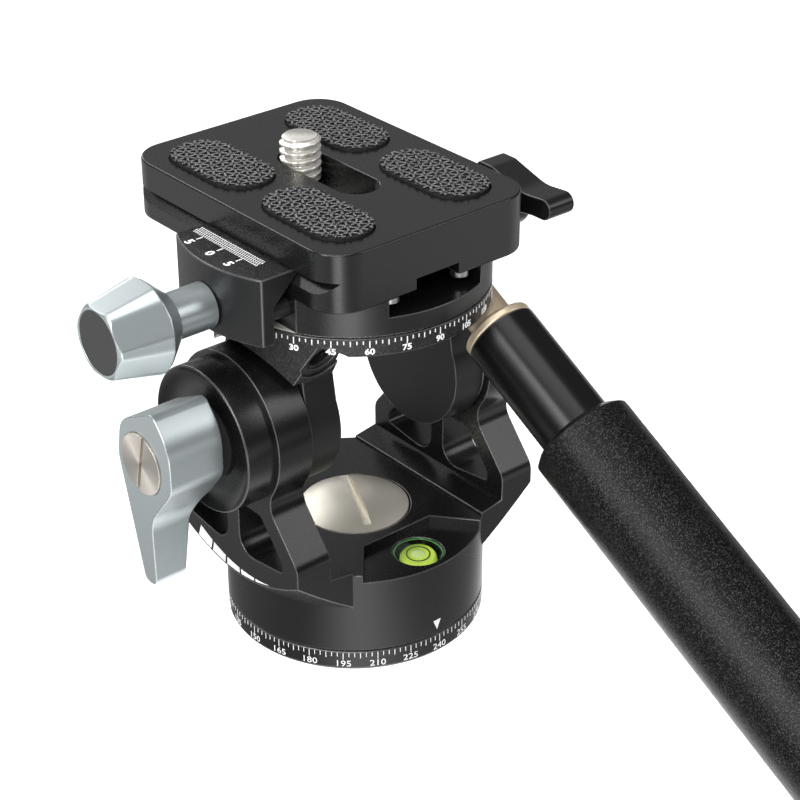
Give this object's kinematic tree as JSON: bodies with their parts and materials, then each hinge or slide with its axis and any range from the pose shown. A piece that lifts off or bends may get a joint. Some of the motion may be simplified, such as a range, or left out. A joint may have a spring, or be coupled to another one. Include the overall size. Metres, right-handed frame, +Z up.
{
  "type": "tilt head",
  "caption": "Compact tripod tilt head: panning yoke on a dial base, tilting cradle with side lock lever, panning dovetail clamp with camera plate, and an angled pan handle.",
  "frame": {"origin": "centre of the base's underside, on the tripod thread's axis", "axes": "+Z up along the pan axis; X along the tilt axis, the silver lock lever at -X; -Y the front, with the level and the handle"},
  "size_m": [0.0775, 0.1758, 0.1005],
  "materials": {
    "black_anodised": "satin anodised",
    "textured_black": "fine textured paint",
    "silver_anodised": "satin anodised",
    "champagne_anodised": "satin anodised",
    "nickel": "brushed nickel plate",
    "steel": "turned",
    "brass": "turned",
    "nylon": "matt",
    "vial": "clear, green liquid",
    "pad_rubber": "matt, raised lattice",
    "foam": "speckled foam",
    "black_plastic": "matt"
  },
  "bodies": {
    "base": {"base_dial": "black_anodised", "thread_insert": "steel", "pan_screw": "nickel", "pan_spring_washer": "steel"},
    "yoke": {"yoke": "black_anodised", "base_slip_washer": "nylon", "level_vial": "vial", "friction_washers": "nylon", "pivot_bolt": "steel", "lock_collar": "black_anodised", "thrust_washer": "black_plastic"},
    "tilt_lock": {"lock_bolt": "steel", "tilt_lever": "silver_anodised", "lever_cap_screw": "nickel"},
    "cradle": {"tilt_cradle": "textured_black", "clamp_slip_washer": "nylon", "clamp_pivot": "steel", "handle_stub": "champagne_anodised", "handle_tube": "black_anodised", "handle_grip": "foam", "handle_end_cap": "black_plastic"},
    "clamp": {"clamp_body": "black_anodised", "brake_shoe": "brass"},
    "pan_lock": {"pan_lock_lever": "black_anodised", "pan_lock_stud": "steel"},
    "jaw": {"moving_jaw": "textured_black", "guide_pins": "steel"},
    "knob": {"clamp_knob": "silver_anodised", "knob_disc": "black_plastic", "clamp_spindle": "steel", "spindle_clip": "steel"},
    "plate": {"camera_plate": "black_anodised", "rubber_pads": "pad_rubber", "plate_stop_screws": "steel"},
    "screw_carrier": {"captive_washer": "nylon"},
    "screw": {"camera_screw": "nickel"}
  },
  "joints": [
    {"name": "base_pan", "type": "hinge", "parent": "base", "child": "yoke", "pos_m": [0, 0, 0.0104], "axis": [0, 0, 1], "continuous": true},
    {"name": "tilt", "type": "hinge", "parent": "yoke", "child": "cradle", "pos_m": [0, 0, 0.0405], "axis": [1, 0, 0], "range_deg": [-75, 40]},
    {"name": "tilt_lever_turn", "type": "hinge", "parent": "yoke", "child": "tilt_lock", "pos_m": [-0.03, 0, 0.0405], "axis": [-1, 0, 0], "range_deg": [-45, 45]},
    {"name": "clamp_pan", "type": "hinge", "parent": "cradle", "child": "clamp", "pos_m": [0, 0, 0.0595], "axis": [0, 0, 1], "continuous": true},
    {"name": "pan_lever_turn", "type": "hinge", "parent": "clamp", "child": "pan_lock", "pos_m": [0.0245, 0, 0.06215], "axis": [1, 0, 0], "range_deg": [-15, 45]},
    {"name": "jaw_slide", "type": "slide", "parent": "clamp", "child": "jaw", "axis": [-1, 0, 0], "range_m": [0, 0.0035]},
    {"name": "knob_turn", "type": "hinge", "parent": "jaw", "child": "knob", "pos_m": [-0.0245, 0, 0.06215], "axis": [-1, 0, 0], "range_deg": [0, 1801]},
    {"name": "plate_slide", "type": "slide", "parent": "clamp", "child": "plate", "axis": [0, 1, 0], "range_m": [-0.02, 0.0095]},
    {"name": "screw_slide", "type": "slide", "parent": "plate", "child": "screw_carrier", "axis": [0, 1, 0], "range_m": [-0.0131, 0]},
    {"name": "screw_turn", "type": "hinge", "parent": "screw_carrier", "child": "screw", "pos_m": [0, 0.0119, 0.068], "axis": [0, 0, 1], "continuous": true}
  ],
  "couplings": [
    {"joint": "knob_turn", "follows": "jaw_slide", "rad_per_m": 8976}
  ]
}
